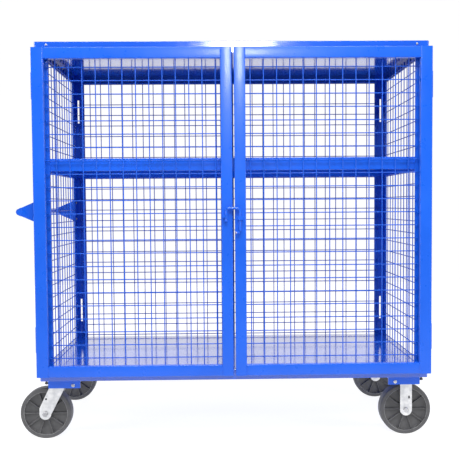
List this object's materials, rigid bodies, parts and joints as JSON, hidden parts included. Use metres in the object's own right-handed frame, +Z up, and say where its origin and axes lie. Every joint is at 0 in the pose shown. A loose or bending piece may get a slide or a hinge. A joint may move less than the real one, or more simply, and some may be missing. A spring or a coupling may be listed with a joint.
{
  "type": "wire mesh security cage cart",
  "caption": "Mobile wire mesh security cage with double hinged doors, drop-bar latch, middle shelf, sheet roof and deck, side push handle, and swivel and rigid casters.",
  "frame": {"origin": "on the floor under the middle of the cage's deck", "axes": "+Z up, the doors face -Y, the push handle is on the -X side, +X towards the rigid casters"},
  "size_m": [1.6432, 0.8207, 1.554],
  "materials": {
    "blue_paint": "gloss powder coat",
    "wheel_plastic": "moulded dark grey",
    "bush_plastic": "plain",
    "zinc_steel": "bright zinc plate",
    "bolt_steel": "zinc plate"
  },
  "bodies": {
    "cage": {"caster_bolts": "bolt_steel", "caster_mounts": "blue_paint", "deck_pan": "blue_paint", "foot_studs": "bolt_steel", "frame_leaves": "blue_paint", "front_left_post": "blue_paint", "front_right_axle": "zinc_steel", "front_right_frame": "zinc_steel", "front_right_post": "blue_paint", "handle_bolts": "bolt_steel", "handle_brackets": "blue_paint", "handle_tube": "blue_paint", "hinge_pins": "bolt_steel", "kingpins": "zinc_steel", "left_side_mesh": "blue_paint", "mid_shelf": "blue_paint", "mount_bolts": "bolt_steel", "race_rings": "zinc_steel", "rear_centre_post": "blue_paint", "rear_header": "blue_paint", "rear_left_post": "blue_paint", "rear_mesh_left": "blue_paint", "rear_mesh_right": "blue_paint", "rear_right_axle": "zinc_steel", "rear_right_frame": "zinc_steel", "rear_right_post": "blue_paint", "right_side_mesh": "blue_paint", "roof_pan": "blue_paint", "roof_rivets": "bolt_steel", "side_headers": "blue_paint", "swivel_plates": "zinc_steel"},
    "left_door": {"left_hinge_stile": "blue_paint", "left_free_stile": "blue_paint", "left_top_rail": "blue_paint", "left_bottom_rail": "blue_paint", "left_stile_caps": "blue_paint", "left_mesh": "blue_paint", "left_door_leaves": "blue_paint", "latch_keeper": "blue_paint"},
    "right_door": {"right_hinge_stile": "blue_paint", "right_free_stile": "blue_paint", "right_top_rail": "blue_paint", "right_bottom_rail": "blue_paint", "right_stile_caps": "blue_paint", "right_mesh": "blue_paint", "right_door_leaves": "blue_paint", "latch_guide": "blue_paint"},
    "latch": {"latch_bar": "blue_paint"},
    "front_left_swivel": {"front_left_fork": "zinc_steel", "front_left_axle": "zinc_steel"},
    "rear_left_swivel": {"rear_left_fork": "zinc_steel", "rear_left_axle": "zinc_steel"},
    "front_left_wheel": {"front_left_wheel": "wheel_plastic", "front_left_bush": "bush_plastic"},
    "rear_left_wheel": {"rear_left_wheel": "wheel_plastic", "rear_left_bush": "bush_plastic"},
    "front_right_wheel": {"front_right_wheel": "wheel_plastic", "front_right_bush": "bush_plastic"},
    "rear_right_wheel": {"rear_right_wheel": "wheel_plastic", "rear_right_bush": "bush_plastic"}
  },
  "joints": [
    {"name": "right_door_swing", "type": "hinge", "parent": "cage", "child": "right_door", "pos_m": [0.764, -0.384, 0.897], "axis": [0, 0, 1], "range_deg": [0, 120]},
    {"name": "left_door_swing", "type": "hinge", "parent": "cage", "child": "left_door", "pos_m": [-0.764, -0.384, 0.897], "axis": [0, 0, 1], "range_deg": [-120, 0]},
    {"name": "latch_lift", "type": "slide", "parent": "right_door", "child": "latch", "axis": [0, 0, 1], "range_m": [0, 0.034]},
    {"name": "front_left_swivel_turn", "type": "hinge", "parent": "cage", "child": "front_left_swivel", "pos_m": [-0.678, -0.29, 0.218], "axis": [0, 0, 1], "continuous": true},
    {"name": "front_left_wheel_spin", "type": "hinge", "parent": "front_left_swivel", "child": "front_left_wheel", "pos_m": [-0.753, -0.29, 0.1016], "axis": [0, 1, 0], "continuous": true},
    {"name": "rear_left_swivel_turn", "type": "hinge", "parent": "cage", "child": "rear_left_swivel", "pos_m": [-0.678, 0.29, 0.218], "axis": [0, 0, 1], "continuous": true},
    {"name": "rear_left_wheel_spin", "type": "hinge", "parent": "rear_left_swivel", "child": "rear_left_wheel", "pos_m": [-0.753, 0.29, 0.1016], "axis": [0, 1, 0], "continuous": true},
    {"name": "front_right_wheel_spin", "type": "hinge", "parent": "cage", "child": "front_right_wheel", "pos_m": [0.687, -0.29, 0.1016], "axis": [0, 1, 0], "continuous": true},
    {"name": "rear_right_wheel_spin", "type": "hinge", "parent": "cage", "child": "rear_right_wheel", "pos_m": [0.687, 0.29, 0.1016], "axis": [0, 1, 0], "continuous": true}
  ],
  "couplings": [
    {"joint": "left_door_swing", "follows": "right_door_swing", "ratio": -1}
  ]
}
